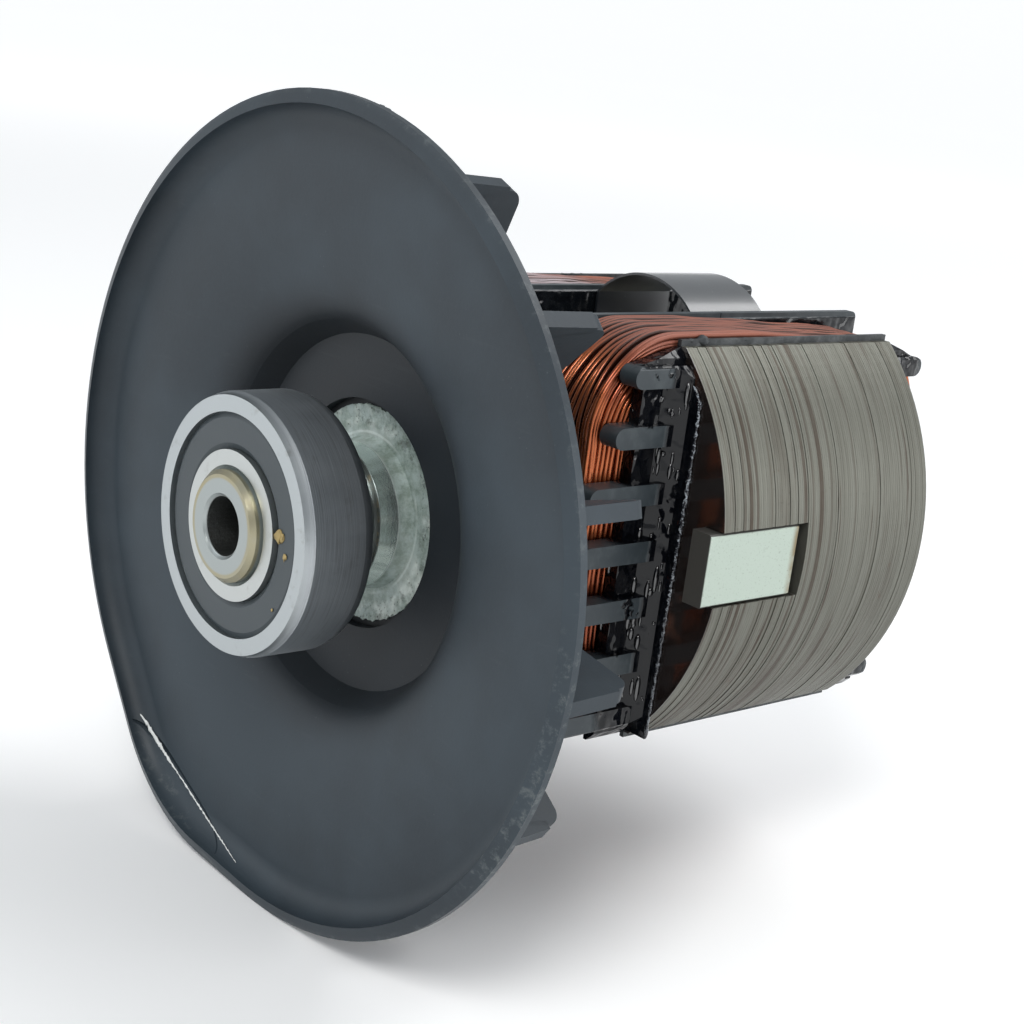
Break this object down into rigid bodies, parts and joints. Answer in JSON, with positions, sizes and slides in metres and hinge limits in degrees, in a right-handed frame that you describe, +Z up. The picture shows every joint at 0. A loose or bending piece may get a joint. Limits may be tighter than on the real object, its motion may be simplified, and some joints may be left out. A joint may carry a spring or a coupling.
{
  "type": "generator rotor",
  "caption": "Wound generator rotor on a bored shaft, with a moulded cooling fan, exciter magnets, coils in fingered frames and a sealed ball bearing.",
  "frame": {"origin": "centre of the ball bearing, on the rotor's axis", "axes": "+Y along the rotor's axis towards the drive end, poles on +X and -X, +Z up"},
  "size_m": [0.1288, 0.143, 0.1288],
  "materials": {
    "shaft_steel": "turned, dull",
    "bearing_steel": "ground, satin",
    "cage_steel": "pressed sheet",
    "seal_rubber": "smooth black",
    "insert_metal": "rough die casting",
    "fan_plastic": "satin black",
    "lamination_steel": "stacked plates, thinly varnished",
    "magnet_ferrite": "sintered, dull",
    "frame_plastic": "black, varnished",
    "liner_board": "insulation board",
    "copper_winding": "enamelled, varnished",
    "diode_body": "moulded epoxy",
    "lead_sleeve": "woven glass sleeve",
    "film": "translucent film"
  },
  "bodies": {
    "rotor": {"shaft": "shaft_steel", "bearing_inner_ring": "bearing_steel", "fan_insert": "insert_metal", "fan": "fan_plastic", "lamination_stack": "lamination_steel", "magnet_near": "magnet_ferrite", "magnet_far": "magnet_ferrite", "winding_frame_front": "frame_plastic", "winding_frame_rear": "frame_plastic", "slot_liner_near_top": "liner_board", "slot_liner_near_bottom": "liner_board", "slot_liner_far_top": "liner_board", "slot_liner_far_bottom": "liner_board", "coil_near": "copper_winding", "coil_far": "copper_winding", "diode_top": "diode_body", "diode_bottom": "diode_body", "lead_top_front": "lead_sleeve", "lead_top_rear": "lead_sleeve", "lead_bottom_front": "lead_sleeve", "lead_bottom_rear": "lead_sleeve", "insulation_film_top": "film", "insulation_film_bottom": "film"},
    "bearing_outer": {"bearing_outer_ring": "bearing_steel", "bearing_front_seal": "seal_rubber", "bearing_rear_seal": "seal_rubber"},
    "bearing_cage": {"bearing_cage_front": "cage_steel", "bearing_cage_rear": "cage_steel", "bearing_cage_rivets": "cage_steel", "bearing_balls": "bearing_steel"}
  },
  "joints": [
    {"name": "bearing_spin", "type": "hinge", "parent": "rotor", "child": "bearing_outer", "pos_m": [0, 0, 0], "axis": [0, 1, 0], "continuous": true},
    {"name": "cage_spin", "type": "hinge", "parent": "rotor", "child": "bearing_cage", "pos_m": [0, 0, 0], "axis": [0, 1, 0], "continuous": true}
  ],
  "couplings": [
    {"joint": "cage_spin", "follows": "bearing_spin", "ratio": 0.6182}
  ]
}
